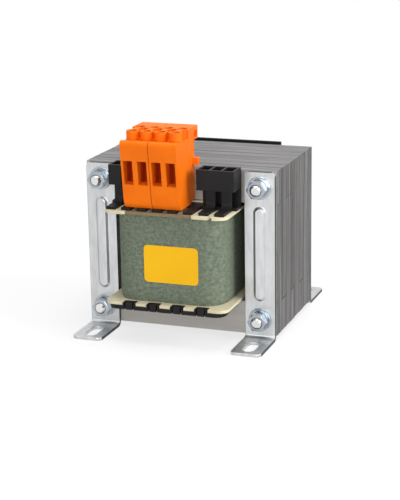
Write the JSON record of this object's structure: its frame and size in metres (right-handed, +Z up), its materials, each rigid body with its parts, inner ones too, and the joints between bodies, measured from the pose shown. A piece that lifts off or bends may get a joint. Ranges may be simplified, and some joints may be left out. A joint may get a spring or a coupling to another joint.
{
  "type": "laminated chassis transformer",
  "caption": "Mains transformer with an E and I lamination core, a wrapped coil, slotted foot brackets and screw terminals on a clip-on carrier.",
  "frame": {"origin": "middle of the footprint, on the surface that the four feet stand on", "axes": "+Z up, the terminals face -Y, +X to the right seen from the terminals"},
  "size_m": [0.096, 0.111, 0.1017],
  "materials": {
    "core_steel": "bare electrical steel laminations, varnish dipped",
    "zinc_sheet": "zinc plated sheet",
    "zinc_fastener": "blue passivated zinc plate",
    "ivory_former": "moulded glass filled nylon, ivory",
    "black_carrier": "moulded nylon, black",
    "orange_housing": "moulded nylon, orange",
    "green_wrap": "grey green fibre wrap",
    "copper_wire": "enamelled copper wire",
    "barrier_film": "polyester insulation film",
    "clamp_metal": "bare brass clamp metal",
    "brown_pressboard": "brown pressboard"
  },
  "bodies": {
    "root": {"e_laminations": "core_steel", "i_laminations": "core_steel", "coil_former": "ivory_former", "primary_winding": "copper_wire", "winding_barrier": "barrier_film", "secondary_winding": "copper_wire", "lead_strip": "brown_pressboard", "outer_wrap": "green_wrap", "front_left_bracket": "zinc_sheet", "front_right_bracket": "zinc_sheet", "rear_left_bracket": "zinc_sheet", "rear_right_bracket": "zinc_sheet", "core_bolts": "zinc_fastener", "flat_washers": "zinc_fastener", "spring_washers": "zinc_fastener", "hex_nuts": "zinc_fastener", "front_terminal_carrier": "black_carrier", "rear_terminal_carrier": "black_carrier", "front_lower_comb": "black_carrier", "rear_lower_comb": "black_carrier", "terminal_housing_left": "orange_housing", "terminal_housing_right": "orange_housing", "clamp_cages": "clamp_metal", "clamp_screws": "clamp_metal", "current_bars": "clamp_metal", "lead_wires": "copper_wire"}
  },
  "joints": []
}
